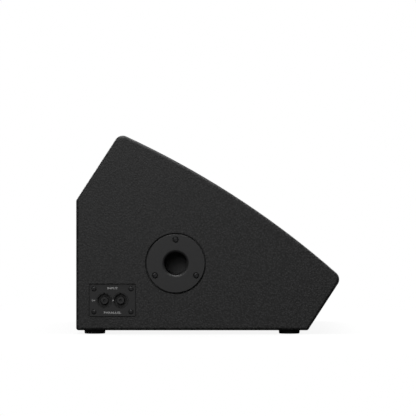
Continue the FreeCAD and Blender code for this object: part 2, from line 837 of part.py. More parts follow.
def horn_fasteners():
    """The flange's wood screws, and the bolts that hold the driver on the throat."""
    wood_screw = screw(4.0, 2.2, 1.9, 18.0)
    bolt = screw(4.3, 4.0, 2.5, 13.0, "hex")
    pieces = [on_horn(placed(wood_screw, (x, y, 5.0))) for x, y in horn_screw_places()]
    for x, y in circle_points(33.0, 4, 45.0):
        pieces.append(on_horn(placed(bolt, (x, y, -horn_depth + 0.5))))
    return group(pieces)


driver_face = -horn_depth - 6.0


def hf_yoke():
    """Front plate and pole of the compression driver, bored through for the sound."""
    z = driver_face
    pole = turned([(throat_radius, z), (42, z), (42, z - 8), (21.6, z - 8), (21.6, z - 25), (13.0, z - 25)])
    for x, y in circle_points(33.0, 4, 45.0):
        pole = pole.cut(cylinder(2.5 + fit_gap, z - 7, z + 1, x, y))
    return on_horn(pole)


def hf_magnet():
    return on_horn(tube(45.0, 26.0, driver_face - 23.0, driver_face - 8.0))


def hf_top_plate():
    return on_horn(tube(42.0, 22.9, driver_face - 29.0, driver_face - 23.0))


def hf_phase_plug():
    """Plug in the pole's mouth, with one ring slot to the throat and a domed rear face."""
    z = driver_face
    rear = z - 31.0
    outer = turned([(13.2, z - 25.05), (20.6, z - 25.05), (20.6, rear), (15.6, rear - 2.5), (13.2, z - 27)])
    inner = turned([(0, z - 20), (3.0, z - 25), (8.0, z - 27), (12.4, rear - 3.8), (6.0, rear - 5.2),
                    (0, rear - 5.6)])
    webs = [box(-15, 15, -0.8, 0.8, z - 30, z - 27.5), box(-0.8, 0.8, -15, 15, z - 30, z - 27.5)]
    plug = inner.fuse(webs[0]).fuse(webs[1]).fuse(outer)
    return on_horn(plug)


def hf_diaphragm():
    """Dome and its coil former, as one light piece."""
    z = driver_face - 31.0
    dome = domed_cap(22.4, 0.0, 7.2, 0.35)
    dome.rotate(Vector(0, 0, 0), Vector(1, 0, 0), 180)
    dome.translate(Vector(0, 0, z))
    former = tube(22.4, 22.05, z, z + 8.5)
    return on_horn(group([dome, former]))


def hf_suspension():
    z = driver_face - 31.0
    return on_horn(tube(26.95, 22.45, z - 0.3, z))


def hf_rear_cover():
    """Closed cap over the diaphragm, with the ring that clamps the suspension on the top plate."""
    z = driver_face - 29.0
    cover = turned([(27, z), (42, z), (42, z - 17), (40, z - 19), (0, z - 19), (0, z - 16), (38.5, z - 16),
                    (38.5, z - 4), (27, z - 4)])
    return on_horn(cover)


def port(side):
    """Flared bass port: tube, rounded mouth and flange."""
    outer = port_radius + 2.5
    body = turned([(port_radius, -port_length), (outer, -port_length), (outer, 0), (42, 0), (42, 3.5),
                   (port_radius, 3.5)])
    rim = [e for e in edges_at_height(body, 3.5) if e.BoundBox.XMax < port_radius + 0.1]
    body = body.makeFillet(6.0, rim)
    return on_baffle(body, chord / 2 + side * port_offset, horn_y)


# ---------------------------------------------------------------- crossover, leads and wadding


def board_corners():
    return [(x, y) for x in (board_x[0] + 5, board_x[1] - 5) for y in (board_y[0] + 5, board_y[1] - 5)]


def crossover_board():
    board = box(board_x[0], board_x[1], board_y[0], board_y[1], board_z, board_z + board_thickness)
    for x, y in board_corners():
        board = board.cut(cylinder(1.7, 0, 60, x, y))
    return board


def crossover_hardware():
    """Spacers with a screw through each, and the three two-way lead terminals."""
    top = board_z + board_thickness
    pieces = []
    for x, y in board_corners():
        pieces.append(placed(tube(3.5, 1.6, panel_thickness, board_z), (x, y, 0)))
        pieces.append(placed(screw(3.0, 2.0, 1.5, top - 8.0), (x, y, top)))
    for y in lead_landings:
        block = terminal_block(y, 0.0)
        for side in (-1, 1):
            block = block.cut(cylinder(1.8, top + 6, top + 10, 91.0, y + side * 3))
        pieces.append(block)
    return group(pieces)


def terminal_block(y, grow):
    top = board_z + board_thickness
    return box(86.6 - grow, 95.4 + grow, y - 6 - grow, y + 6 + grow, top + 0.05 - grow, top + 9 + grow)


def crossover_inductors():
    """Air-cored coils on flanged bobbins, one standing and one lying."""
    top = board_z + board_thickness
    coil = turned([(8, 0), (24, 0), (24, 2), (22, 2), (22, 20), (24, 20), (24, 22), (8, 22)])
    small = turned([(6, 0), (17, 0), (17, 1.5), (15, 1.5), (15, 14), (17, 14), (17, 15.5), (6, 15.5)])
    lying = facing(small, (50.0, 176.0, top + 17.05), (0, 1, 0))
    return group([placed(coil, (62.0, 118.0, top + 0.05)), lying])


def crossover_capacitors():
    top = board_z + board_thickness
    cans = []
    for y, radius in ((152.0, 8.0), (207.0, 10.0)):
        cans.append(facing(cylinder(radius, 0, 34), (36.0, y, top + radius + 0.05), (1, 0, 0)))
    cans.append(cylinder(7.0, top + 0.05, top + 30, 86.0, 190.0))
    return group(cans)


def crossover_resistors():
    top = board_z + board_thickness
    return group([box(24, 33, y, y + 48, top + 1.0, top + 10.0) for y in (92.0, 158.0)])


def lead_path(points, share=0.45):
    """Straight runs joined by tangent arcs, each as large as its two runs allow."""
    route = [Vector(*p) for p in points]
    edges = []
    start = route[0]
    for before, here, after in zip(route, route[1:], route[2:]):
        arriving = (here - before).normalize()
        leaving = (after - here).normalize()
        turn = arriving.getAngle(leaving)
        trim = share * min((here - before).Length, (after - here).Length)
        radius = trim / math.tan(turn / 2)
        first = here - arriving * trim
        last = here + leaving * trim
        bisector = (leaving - arriving).normalize()
        middle = here + bisector * (radius / math.cos(turn / 2) - radius)
        edges.append(Part.LineSegment(start, first).toShape())
        edges.append(Part.Arc(first, middle, last).toShape())
        start = last
    edges.append(Part.LineSegment(start, route[-1]).toShape())
    return Part.Wire(edges), (route[1] - route[0])


def lead(points, radius):
    path, direction = lead_path(points)
    ring = Part.Wire(Part.makeCircle(radius, Vector(*points[0]), direction))
    return path.makePipeShell([ring], True, False)


def internal_leads():
    """The three insulated leads: sockets to crossover, crossover to woofer and crossover to driver."""
    inside = board_x[1] - 3.0
    first, second, third = lead_landings
    z = board_z + board_thickness + 5.0
    start = -half_width + lead_connector_reach - (plate_front() - socket_depth - 5.0)
    socket_lead = [(plate_x, start, plate_z), (59, -205, 50), (62, -150, 47), (66, -95, 49), (63, -40, 52), (64, 10, 51),
                   (72, 50, 46), (83, 78, 36), (91, first - 3.5, z)]
    woofer_lead = [(inside, second, z), (116, 117, 35), (137, 98, 50), (153, 73, 72), (170, 50, 100),
                   (192, 40, 128), (211, 33, 146)]
    driver_lead = [(inside, third, z), (112, 140, 33), (122, 150, 44), (126, 158, 58), (132.5, 160, 72.3)]
    routes = zip((socket_lead, woofer_lead, driver_lead), lead_landings)
    pieces = [lead(points, lead_radius).cut(terminal_block(y, 0.1)) for points, y in routes]
    return group(pieces + [lead_connector()])


def damping_pads():
    """Wadding on the bottom panel and on the rear slope panel, behind the woofer."""
    lower = box(112, 330, -258, 40, panel_thickness + 0.2, panel_thickness + 18)
    corners = [section_point(panel_thickness + depth, height)
               for depth, height in ((0.2, -112), (0.2, -46), (18, -46), (18, -112))]
    return group([lower, prism_xz(corners, -258, 40)])


# ---------------------------------------------------------------- export


def build():
    """Every node's shape by name."""
    shapes = {"side_panel_left": side_panel_left(), "side_panel_right": side_panel(1)}
    makers = (bottom_panel, back_panel, rear_slope_panel, nose_panel, baffle_board, window_brace,
              grille, grille_battens, grille_screws, pole_cup, pole_cup_screws, input_plate,
              input_plate_screws, socket_cores, socket_seals, socket_contacts, socket_board, foot_screws,
              handle_dish, handle_bar, handle_screws,
              woofer_frame, woofer_gasket, woofer_cone, woofer_dust_cap, woofer_surround, woofer_spider,
              voice_coil_former, voice_coil_winding, woofer_top_plate, woofer_magnet, woofer_yoke,
              woofer_terminals, woofer_fasteners, horn, horn_fasteners, hf_yoke, hf_magnet, hf_top_plate,
              hf_phase_plug, hf_diaphragm, hf_suspension, hf_rear_cover, crossover_board, crossover_hardware,
              crossover_inductors, crossover_capacitors, crossover_resistors, internal_leads, damping_pads)
    for make in makers:
        shapes[make.__name__] = make()
    for name, x in socket_places().items():
        shapes[name + "_socket_shell"] = socket_shell(x)
    for name, (x, y) in foot_places().items():
        shapes[name] = foot(x, y)
    for name, side in (("port_upper", -1), ("port_lower", 1)):
        shapes[name] = port(side)
    return shapes


def main():
    os.makedirs("parts", exist_ok=True)
    depth = outline_solid(-1.0, 1.0).optimalBoundingBox(False, False).XMax
    for name, shape in build().items():
        piece = placed(shape, (-depth / 2.0, 0, foot_height))
        size = piece.BoundBox
        print(f"{name:22s} solids {len(piece.Solids):2d} valid {piece.isValid()} "
              f"x {size.XMin:7.1f} {size.XMax:7.1f}  y {size.YMin:7.1f} {size.YMax:7.1f}  "
              f"z {size.ZMin:7.1f} {size.ZMax:7.1f}")
        piece.exportStep("parts/" + name + ".step")


main()
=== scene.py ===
import bmesh
import bpy
import json
import math
from mathutils import Matrix, Vector, noise


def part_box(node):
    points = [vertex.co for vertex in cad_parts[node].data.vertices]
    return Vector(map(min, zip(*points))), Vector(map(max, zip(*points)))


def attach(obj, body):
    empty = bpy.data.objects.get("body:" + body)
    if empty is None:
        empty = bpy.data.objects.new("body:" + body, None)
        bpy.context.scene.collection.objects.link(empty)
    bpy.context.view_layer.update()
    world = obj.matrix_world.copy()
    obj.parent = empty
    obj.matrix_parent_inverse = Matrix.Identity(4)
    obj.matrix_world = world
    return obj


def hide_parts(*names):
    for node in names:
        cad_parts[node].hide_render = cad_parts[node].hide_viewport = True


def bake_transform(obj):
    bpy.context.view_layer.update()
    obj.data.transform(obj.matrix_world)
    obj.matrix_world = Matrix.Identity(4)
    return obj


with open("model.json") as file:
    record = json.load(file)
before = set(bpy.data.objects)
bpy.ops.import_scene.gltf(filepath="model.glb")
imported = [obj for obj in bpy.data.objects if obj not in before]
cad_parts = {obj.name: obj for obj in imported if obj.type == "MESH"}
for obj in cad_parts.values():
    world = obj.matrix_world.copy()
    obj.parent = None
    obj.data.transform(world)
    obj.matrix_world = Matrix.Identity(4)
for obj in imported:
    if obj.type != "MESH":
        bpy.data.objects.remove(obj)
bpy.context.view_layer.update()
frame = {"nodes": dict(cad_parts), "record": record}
nodes = frame["nodes"]
print("frame loaded:", len(nodes), "CAD nodes")

slopeTurn = Matrix.Rotation(math.radians(33.0), 4, "Y")  # the baffle's tilt: local Z looks out of the baffle


def extent(points):
    # the lowest and highest corners of a list of points
    return tuple(Vector([pick(p[i] for p in points) for i in range(3)]) for pick in (min, max))


def tiltedBox(name):
    # a node's lowest and highest corners in coordinates that lie along the slope
    back = slopeTurn.inverted()
    return extent([back @ v.co for v in nodes[name].data.vertices])


def onlyVerts(geometry):
    return [g for g in geometry if isinstance(g, bmesh.types.BMVert)]


def finishPiece(bm, name, slotName, body="cabinet", smoothAngle=None, finish=None):
    # turns a bmesh, already in the frame's own coordinates, into a piece that can be seen
    mesh = bpy.data.meshes.new(name)
    bm.to_mesh(mesh)
    bm.free()
    piece = bpy.data.objects.new(name, mesh)
    bpy.context.scene.collection.objects.link(piece)
    mesh.materials.append(materials[finish or slotName])
    if smoothAngle is not None:
        mesh.polygons.foreach_set("use_smooth", [True] * len(mesh.polygons))
        mesh.set_sharp_from_angle(angle=math.radians(smoothAngle))
    if body:
        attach(piece, body)
    return piece


def newGroup(name, inputs, outputs):
    tree = bpy.data.node_groups.new(name, "ShaderNodeTree")
    for label, kind, value in inputs:
        socket = tree.interface.new_socket(label, in_out="INPUT", socket_type="NodeSocket" + kind)
        if value is not None:
            socket.default_value = value
    for label, kind in outputs:
        tree.interface.new_socket(label, in_out="OUTPUT", socket_type="NodeSocket" + kind)
    return tree, tree.nodes.new("NodeGroupInput"), tree.nodes.new("NodeGroupOutput")


def addNode(tree, kind, values=None, links=None, **settings):
    # one node, its settings, its socket values and what feeds its sockets
    node = tree.nodes.new("ShaderNode" + kind)
    for key, value in settings.items():
        setattr(node, key, value)
    for key, value in (values or {}).items():
        node.inputs[key].default_value = value
    for key, source in (links or {}).items():
        tree.links.new(source, node.inputs[key])
    return node


def mathNode(tree, operation, first, second):
    # either side is a number or another node's output
    values, links = {}, {}
    for index, item in enumerate((first, second)):
        if isinstance(item, (int, float)):
            values[index] = item
        else:
            links[index] = item
    return addNode(tree, "Math", values, links, operation=operation).outputs[0]


def buildStippleGroup():
    # rolled and sprayed paint, moulded grain and orange peel: rounded bumps of one size over a softer swell; the
    # same height also comes out as the colour mask, which puts painted shade in the valleys and painted
    # highlight on the bump tops
    tree, entry, leave = newGroup(
        "stippleGrainAndPaintedShade",
        [("Position", "Vector", None), ("Bumps per metre", "Float", 500.0), ("Roundness", "Float", 0.5)],
        [("Height", "Float"), ("Painted relief shade", "Float")])
    scale = entry.outputs["Bumps per metre"]
    fine = addNode(tree, "TexNoise", {"Detail": 2.0, "Roughness": 0.55},
                   {"Vector": entry.outputs["Position"], "Scale": scale})
    cells = addNode(tree, "TexVoronoi", {"Randomness": 1.0, "Smoothness": 0.6},
                    {"Vector": entry.outputs["Position"], "Scale": mathNode(tree, "MULTIPLY", scale, 0.85)},
                    feature="SMOOTH_F1")
    domes = addNode(tree, "MapRange", {"From Min": 0.12, "From Max": 0.62, "To Min": 0.85, "To Max": 0.15},
                    {"Value": cells.outputs["Distance"]}, interpolation_type="SMOOTHSTEP")
    height = addNode(tree, "Mix", {}, {"Factor": entry.outputs["Roundness"], "A": fine.outputs[0],
                                       "B": domes.outputs[0]}, data_type="FLOAT")
    for label in ("Height", "Painted relief shade"):
        tree.links.new(height.outputs["Result"], leave.inputs[label])
    return tree


def buildWeaveGroup():
    # crossed threads, for cloth parts
    tree, entry, leave = newGroup(
        "crossWeave", [("Position", "Vector", None), ("Threads per metre", "Float", 900.0)],
        [("Height", "Float"), ("Gaps", "Float")])
    waves = []
    for direction in ("X", "Y"):
        wave = addNode(tree, "TexWave", {"Distortion": 0.6, "Detail": 1.0},
                       {"Vector": entry.outputs["Position"],
                        "Scale": mathNode(tree, "MULTIPLY", entry.outputs["Threads per metre"], 0.32)},
                       wave_type="BANDS", bands_direction=direction, wave_profile="SIN")
        waves.append(wave.outputs["Fac"])
    tree.links.new(mathNode(tree, "MAXIMUM", waves[0], waves[1]), leave.inputs["Height"])
    tree.links.new(mathNode(tree, "MULTIPLY", waves[0], waves[1]), leave.inputs["Gaps"])
    return tree


def buildBrushedGroup():
    # long fine scratches along one direction, for plated and turned metal
    tree, entry, leave = newGroup(
        "brushedLines", [("Position", "Vector", None), ("Lines per metre", "Float", 900.0),
                         ("Stretch", "Vector", (0.03, 1.0, 1.0))],
        [("Height", "Float"), ("Streaks", "Float")])
    drawn = addNode(tree, "VectorMath", {}, {0: entry.outputs["Position"], 1: entry.outputs["Stretch"]},
                    operation="MULTIPLY")
    lines = addNode(tree, "TexNoise", {"Detail": 3.0, "Roughness": 0.7},
                    {"Vector": drawn.outputs[0], "Scale": entry.outputs["Lines per metre"]})
    stains = addNode(tree, "TexNoise", {"Detail": 2.0},
                     {"Vector": entry.outputs["Position"],
                      "Scale": mathNode(tree, "MULTIPLY", entry.outputs["Lines per metre"], 0.05)})
    tree.links.new(lines.outputs[0], leave.inputs["Height"])
    tree.links.new(stains.outputs[0], leave.inputs["Streaks"])
    return tree


def buildDustGroup():
    # thin dust that settles on faces that look up, broken into patches
    tree, entry, leave = newGroup(
        "settledDust", [("Position", "Vector", None), ("Amount", "Float", 0.2)], [("Mask", "Float")])
    surface = addNode(tree, "NewGeometry")
    upward = addNode(tree, "SeparateXYZ", {}, {0: surface.outputs["Normal"]})
    patches = addNode(tree, "TexNoise", {"Scale": 38.0, "Detail": 5.0, "Roughness": 0.65},
                      {"Vector": entry.outputs["Position"]})
    facing = addNode(tree, "MapRange", {"From Min": 0.25, "From Max": 1.0, "To Min": 0.0, "To Max": 1.0},
                     {"Value": upward.outputs["Z"]})
    broken = addNode(tree, "MapRange", {"From Min": 0.35, "From Max": 0.7, "To Min": 0.2, "To Max": 1.0},
                     {"Value": patches.outputs[0]})
    amount = mathNode(tree, "MULTIPLY", facing.outputs[0], broken.outputs[0])
    tree.links.new(mathNode(tree, "MULTIPLY", amount, entry.outputs["Amount"]), leave.inputs["Mask"])
    return tree


groups = {"stipple": buildStippleGroup(), "weave": buildWeaveGroup(), "brushed": buildBrushedGroup(),
          "dust": buildDustGroup()}
grainSockets = {"stipple": ("Bumps per metre", "Painted relief shade"), "weave": ("Threads per metre", "Gaps"),
                "brushed": ("Lines per metre", "Streaks")}
print("shader groups built")


# dark and light are the colour's two ends, grain the pattern, density its repeats per metre,
# bump its depth in metres, rough the two ends of the roughness, round how much of the stipple is domes,
# spread the part of the pattern that the colour runs over, dust the most that lies on faces that look up
# with the stipple grain the colour runs with the bump height: dark is painted shade in the valleys and light is
# painted highlight on the bump tops
finishes = {
    "cabinet_paint": {"dark": (0.0042, 0.0042, 0.0043), "light": (0.0489, 0.0489, 0.0495), "grain": "stipple",
                      "density": 400, "bump": 0.0003, "rough": (0.44, 0.62), "dust": 0.04, "round": 0.5,
                      "spread": (0.25, 0.75)},
    "baffle_paint": {"dark": (0.008, 0.008, 0.008), "light": (0.016, 0.016, 0.016), "grain": "stipple",
                     "density": 260, "bump": 0.00008, "rough": (0.7, 0.9)},
    "bare_plywood": {"dark": (0.36, 0.22, 0.11), "light": (0.62, 0.45, 0.27), "grain": "brushed",
                     "density": 420, "bump": 0.00008, "rough": (0.6, 0.8), "stretch": (1.0, 1.0, 0.05)},
    "grille_steel": {"dark": (0.013, 0.013, 0.0135), "light": (0.02, 0.02, 0.021), "grain": "stipple",
                     "density": 1600, "bump": 0.00003, "rough": (0.42, 0.55), "dust": 0.06},
    "cup_steel": {"dark": (0.0262, 0.0262, 0.0268), "light": (0.029, 0.029, 0.0295), "grain": "stipple",
                  "density": 900, "bump": 0.00003, "rough": (0.42, 0.52), "round": 0.3},
    "black_screw": {"dark": (0.022, 0.022, 0.023), "light": (0.034, 0.034, 0.036), "grain": "stipple",
                    "density": 1400, "bump": 0.00002, "rough": (0.32, 0.45), "metallic": 0.3},
    "plate_black": {"dark": (0.023, 0.023, 0.0235), "light": (0.028, 0.028, 0.0285), "grain": "stipple",
                    "density": 1300, "bump": 0.00002, "rough": (0.5, 0.6), "round": 0.3},
    "contact_metal": {"dark": (0.5, 0.47, 0.4), "light": (0.7, 0.68, 0.62), "grain": "brushed",
                      "density": 2400, "bump": 0.00001, "rough": (0.22, 0.4), "metallic": 1.0},
    "circuit_board": {"dark": (0.012, 0.05, 0.02), "light": (0.03, 0.11, 0.045), "grain": "weave",
                      "density": 1200, "bump": 0.00002, "rough": (0.3, 0.45)},
    "plated_steel": {"dark": (0.4, 0.4, 0.42), "light": (0.62, 0.62, 0.64), "grain": "brushed",
                     "density": 1500, "bump": 0.00002, "rough": (0.28, 0.5), "metallic": 1.0},
    "handle_plastic": {"dark": (0.013, 0.013, 0.0135), "light": (0.021, 0.021, 0.0215), "grain": "stipple",
                       "density": 800, "bump": 0.00007, "rough": (0.5, 0.65), "dust": 0.05, "round": 0.7},
    "grip_rubber": {"dark": (0.011, 0.011, 0.011), "light": (0.019, 0.019, 0.019), "grain": "stipple",
                    "density": 1100, "bump": 0.00005, "rough": (0.65, 0.85)},
    "frame_paint": {"dark": (0.011, 0.011, 0.0115), "light": (0.02, 0.02, 0.021), "grain": "stipple",
                    "density": 650, "bump": 0.00012, "rough": (0.4, 0.55), "round": 0.8},
    "gasket_rubber": {"dark": (0.012, 0.012, 0.012), "light": (0.02, 0.02, 0.02), "grain": "stipple",
                      "density": 1500, "bump": 0.00004, "rough": (0.75, 0.9)},
    "cone_paper": {"dark": (0.019, 0.0185, 0.018), "light": (0.04, 0.039, 0.037), "grain": "stipple",
                   "density": 420, "bump": 0.00012, "rough": (0.72, 0.9), "round": 0.1},
    "cap_paper": {"dark": (0.018, 0.0175, 0.017), "light": (0.034, 0.033, 0.032), "grain": "stipple",
                  "density": 500, "bump": 0.00008, "rough": (0.35, 0.5), "round": 0.1},
    "surround_cloth": {"dark": (0.009, 0.009, 0.009), "light": (0.022, 0.022, 0.022), "grain": "weave",
                       "density": 1400, "bump": 0.00008, "rough": (0.6, 0.8)},
    "spider_cloth": {"dark": (0.3, 0.17, 0.05), "light": (0.55, 0.36, 0.14), "grain": "weave",
                     "density": 1200, "bump": 0.0001, "rough": (0.5, 0.7)},
    "former_film": {"dark": (0.42, 0.19, 0.03), "light": (0.58, 0.3, 0.07), "grain": "stipple",
                    "density": 700, "bump": 0.00001, "rough": (0.25, 0.35)},
    "copper_wire": {"dark": (0.45, 0.14, 0.05), "light": (0.72, 0.3, 0.14), "grain": "brushed",
                    "density": 1600, "bump": 0.00008, "rough": (0.25, 0.4), "metallic": 1.0,
                    "stretch": (0.02, 0.02, 1.0)},
    "ferrite": {"dark": (0.03, 0.03, 0.031), "light": (0.062, 0.062, 0.064), "grain": "stipple",
                "density": 900, "bump": 0.00003, "rough": (0.5, 0.7)},
    "terminal_metal": {"dark": (0.45, 0.4, 0.3), "light": (0.65, 0.6, 0.48), "grain": "brushed",
                       "density": 2000, "bump": 0.00001, "rough": (0.3, 0.45), "metallic": 0.9},
    "horn_plastic": {"dark": (0.012, 0.012, 0.012), "light": (0.02, 0.02, 0.0205), "grain": "stipple",
                     "density": 1100, "bump": 0.00004, "rough": (0.4, 0.52), "round": 0.6},
    "diaphragm_metal": {"dark": (0.6, 0.6, 0.62), "light": (0.8, 0.8, 0.82), "grain": "brushed",
                        "density": 2000, "bump": 0.00001, "rough": (0.2, 0.35), "metallic": 1.0},
    "suspension_film": {"dark": (0.4, 0.32, 0.17), "light": (0.54, 0.46, 0.28), "grain": "stipple",
                        "density": 900, "bump": 0.00001, "rough": (0.25, 0.4)},
    "nylon": {"dark": (0.06, 0.15, 0.09), "light": (0.11, 0.24, 0.15), "grain": "stipple",
              "density": 900, "bump": 0.00003, "rough": (0.4, 0.55)},
    "capacitor_film": {"dark": (0.42, 0.26, 0.03), "light": (0.56, 0.38, 0.06), "grain": "stipple",
                       "density": 300, "bump": 0.00002, "rough": (0.2, 0.3)},
    "resistor_ceramic": {"dark": (0.62, 0.6, 0.54), "light": (0.78, 0.76, 0.7), "grain": "stipple",
                         "density": 1100, "bump": 0.00006, "rough": (0.75, 0.9)},
    "lead_sleeve": {"dark": (0.013, 0.013, 0.013), "light": (0.022, 0.022, 0.022), "grain": "stipple",
                    "density": 700, "bump": 0.00002, "rough": (0.4, 0.55)},
    "wadding": {"dark": (0.45, 0.45, 0.43), "light": (0.72, 0.72, 0.7), "grain": "stipple",
                "density": 160, "bump": 0.0012, "rough": (0.9, 1.0), "round": 0.0},
    "socket_plastic": {"dark": (0.012, 0.012, 0.0125), "light": (0.017, 0.017, 0.0175), "grain": "stipple",
                       "density": 1500, "bump": 0.00002, "rough": (0.38, 0.5)},
    "foot_rubber": {"dark": (0.01, 0.01, 0.01), "light": (0.02, 0.02, 0.02), "grain": "stipple",
                    "density": 1000, "bump": 0.00004, "rough": (0.7, 0.85), "dust": 0.1},
    "seal_rubber": {"dark": (0.038, 0.038, 0.038), "light": (0.054, 0.054, 0.054), "grain": "stipple",
                    "density": 1100, "bump": 0.00003, "rough": (0.6, 0.8)},
    "label_print": {"dark": (0.5, 0.5, 0.5), "light": (0.66, 0.66, 0.66), "grain": "stipple",
                    "density": 2500, "bump": 0.000004, "rough": (0.5, 0.6)},
}
dustColour = (0.24, 0.225, 0.2, 1.0)


def buildFinish(name, look):
    material = bpy.data.materials.new(name)
    material.use_nodes = True
    tree = material.node_tree
    shader = tree.nodes["Principled BSDF"]
    shader.inputs["Metallic"].default_value = look.get("metallic", 0.0)
    place = addNode(tree, "TexCoord").outputs["Object"]
    grain = addNode(tree, "Group", node_tree=groups[look["grain"]])
    densityLabel, maskLabel = grainSockets[look["grain"]]
    grain.inputs[densityLabel].default_value = look["density"]
    tree.links.new(place, grain.inputs["Position"])
    if "round" in look:
        grain.inputs["Roundness"].default_value = look["round"]
    if "stretch" in look:
        grain.inputs["Stretch"].default_value = look["stretch"]
    # the colour runs over the grain's mask; for the stipple that mask is the height, so it paints shade into the
    # hollows and light onto the tops
    least, most = look.get("spread", (0.3, 0.7))
    spread = addNode(tree, "MapRange", {"From Min": least, "From Max": most, "To Min": 0.0, "To Max": 1.0},
                     {"Value": grain.outputs[maskLabel]})
    colour = addNode(tree, "Mix", {"A": (*look["dark"], 1.0), "B": (*look["light"], 1.0)},
                     {"Factor": spread.outputs[0]}, data_type="RGBA")
    shade = colour.outputs["Result"]
    if "dust" in look:
        dust = addNode(tree, "Group", {"Amount": look["dust"]}, {"Position": place}, node_tree=groups["dust"])
        dusty = addNode(tree, "Mix", {"B": dustColour}, {"Factor": dust.outputs["Mask"], "A": shade},
                        data_type="RGBA")
        shade = dusty.outputs["Result"]
    tree.links.new(shade, shader.inputs["Base Color"])
    low, high = look["rough"]
    rough = addNode(tree, "MapRange", {"From Min": 0.3, "From Max": 0.7, "To Min": low, "To Max": high},
                    {"Value": grain.outputs[maskLabel]})
    tree.links.new(rough.outputs[0], shader.inputs["Roughness"])
    relief = addNode(tree, "Bump", {"Strength": 1.0, "Distance": look["bump"]},
                     {"Height": grain.outputs["Height"]})
    tree.links.new(relief.outputs[0], shader.inputs["Normal"])
    return material


materials = {name: buildFinish(name, look) for name, look in finishes.items()}
for part in frame["record"]["subparts"]:
    for holder in nodes[part["node"]].material_slots:
        holder.material = materials[part["material_slot"]]
print("finishes built:", len(materials))


grilleSheet = {
    "curveRadius": 1.3875,    # of the outer face, down the slope
    "holePitch": 0.0075,
    "holeWidth": 0.0056,      # across the flats
    "sideMargin": 0.009,      # plain strip at the two ends
    "screwMargin": 0.0185,    # plain strip that the screws go through
    "thickness": 0.0012,
    "cornerRadius": 0.002,
    "cornerSteps": 4,
    "smoothBelow": 35,        # degrees between faces that still shade as one
}
onLine = 1e-5  # how near a point lies to the sheet's edge and still counts as on it


def buildGrille(spec):
    low, high = tiltedBox("grille")
    middle = (low + high) / 2
    halfSlope = (high.x - low.x) / 2 - spec["cornerRadius"]
    halfLength = (high.y - low.y) / 2 - spec["cornerRadius"]
    pitch = spec["holePitch"]
    step = pitch * math.sqrt(3) / 2
    columns = 2 * math.ceil(halfSlope / step + 1)
    rows = 2 * math.ceil(halfLength / pitch + 1)

    # a column of touching hexagons, then copies of it side by side
    bm = bmesh.new()
    flatsAcross = Matrix.Rotation(math.radians(30), 4, "Z")
    bmesh.ops.create_circle(bm, cap_ends=True, segments=6, radius=pitch / math.sqrt(3), matrix=flatsAcross)
    bmesh.ops.translate(bm, verts=bm.verts, vec=(-columns * step / 2, -rows * pitch / 2, 0))
    tile = bm.verts[:] + bm.edges[:] + bm.faces[:]
    for row in range(1, rows + 1):
        copy = bmesh.ops.duplicate(bm, geom=tile)["geom"]
        bmesh.ops.translate(bm, verts=onlyVerts(copy), vec=(0, row * pitch, 0))
    column = bm.verts[:] + bm.edges[:] + bm.faces[:]
    for number in range(1, columns + 1):
        copy = bmesh.ops.duplicate(bm, geom=column)["geom"]
        bmesh.ops.translate(bm, verts=onlyVerts(copy), vec=(number * step, pitch / 2 * (number % 2), 0))
    bmesh.ops.remove_doubles(bm, verts=bm.verts, dist=pitch * 0.02)

    # the holes, clear of the plain margins
    inside = [f for f in bm.faces
              if abs(f.calc_center_median().x) < halfSlope - spec["screwMargin"]
              and abs(f.calc_center_median().y) < halfLength - spec["sideMargin"]]
    bmesh.ops.inset_individual(bm, faces=inside, thickness=(pitch - spec["holeWidth"]) / 2, use_even_offset=True)
    bmesh.ops.delete(bm, geom=inside, context="FACES")

    # the straight edges
    for axis, half in ((Vector((1, 0, 0)), halfSlope), (Vector((0, 1, 0)), halfLength)):
        for side in (-1, 1):
            bmesh.ops.bisect_plane(bm, geom=bm.verts[:] + bm.edges[:] + bm.faces[:], dist=1e-7,
                                   plane_co=axis * half * side, plane_no=axis * side, clear_outer=True)

    # rounded corner and return flange, extruded from the outline step by step
    def onOutline(v):
        return abs(abs(v.co.x) - halfSlope) < onLine or abs(abs(v.co.y) - halfLength) < onLine

    rim = [e for e in bm.edges if e.is_boundary and all(onOutline(v) for v in e.verts)]
    radius = spec["cornerRadius"]
    turn = math.radians(90 / spec["cornerSteps"])
    outward = {}
    for edge in rim:
        for v in edge.verts:
            outward[v] = (math.copysign(abs(abs(v.co.x) - halfSlope) < onLine, v.co.x),
                          math.copysign(abs(abs(v.co.y) - halfLength) < onLine, v.co.y))
    flangeVerts = []
    for number in range(1, spec["cornerSteps"] + 2):
        grown = bmesh.ops.extrude_edge_only(bm, edges=rim)["geom"]
        rim = [g for g in grown if isinstance(g, bmesh.types.BMEdge) and g.is_boundary]
        fresh = {v for e in rim for v in e.verts}
        nextOutward = {}
        for v in fresh:
            source = next(e.other_vert(v) for e in v.link_edges if e.other_vert(v) in outward)
            away = outward[source]
            nextOutward[v] = away
            if number <= spec["cornerSteps"]:
                reach = radius * (math.sin(turn * number) - math.sin(turn * (number - 1)))
                drop = radius * (math.cos(turn * (number - 1)) - math.cos(turn * number))
                v.co += Vector((away[0] * reach, away[1] * reach, -drop))
            else:
                flangeVerts.append(v)
        outward = nextOutward

    # the curve down the slope, with the flange's edge left straight
    curve = spec["curveRadius"]
    top = high.z - middle.z
    for v in bm.verts:
        v.co.z += top - (curve - math.sqrt(curve ** 2 - v.co.x ** 2))
    for v in flangeVerts:
        v.co.z = low.z - middle.z
    bmesh.ops.recalc_face_normals(bm, faces=bm.faces)
    if sum(f.normal.z for f in bm.faces) < 0:
        bmesh.ops.reverse_faces(bm, faces=bm.faces)
    bmesh.ops.transform(bm, verts=bm.verts, matrix=slopeTurn @ Matrix.Translation(middle))
    piece = finishPiece(bm, "grilleSheet", "grille_steel", smoothAngle=spec["smoothBelow"])
    sheet = piece.modifiers.new("sheetThickness", "SOLIDIFY")
    sheet.thickness = spec["thickness"]
    sheet.offset = -1.0
    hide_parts("grille")
    print("grille:", len(inside), "holes")


buildGrille(grilleSheet)


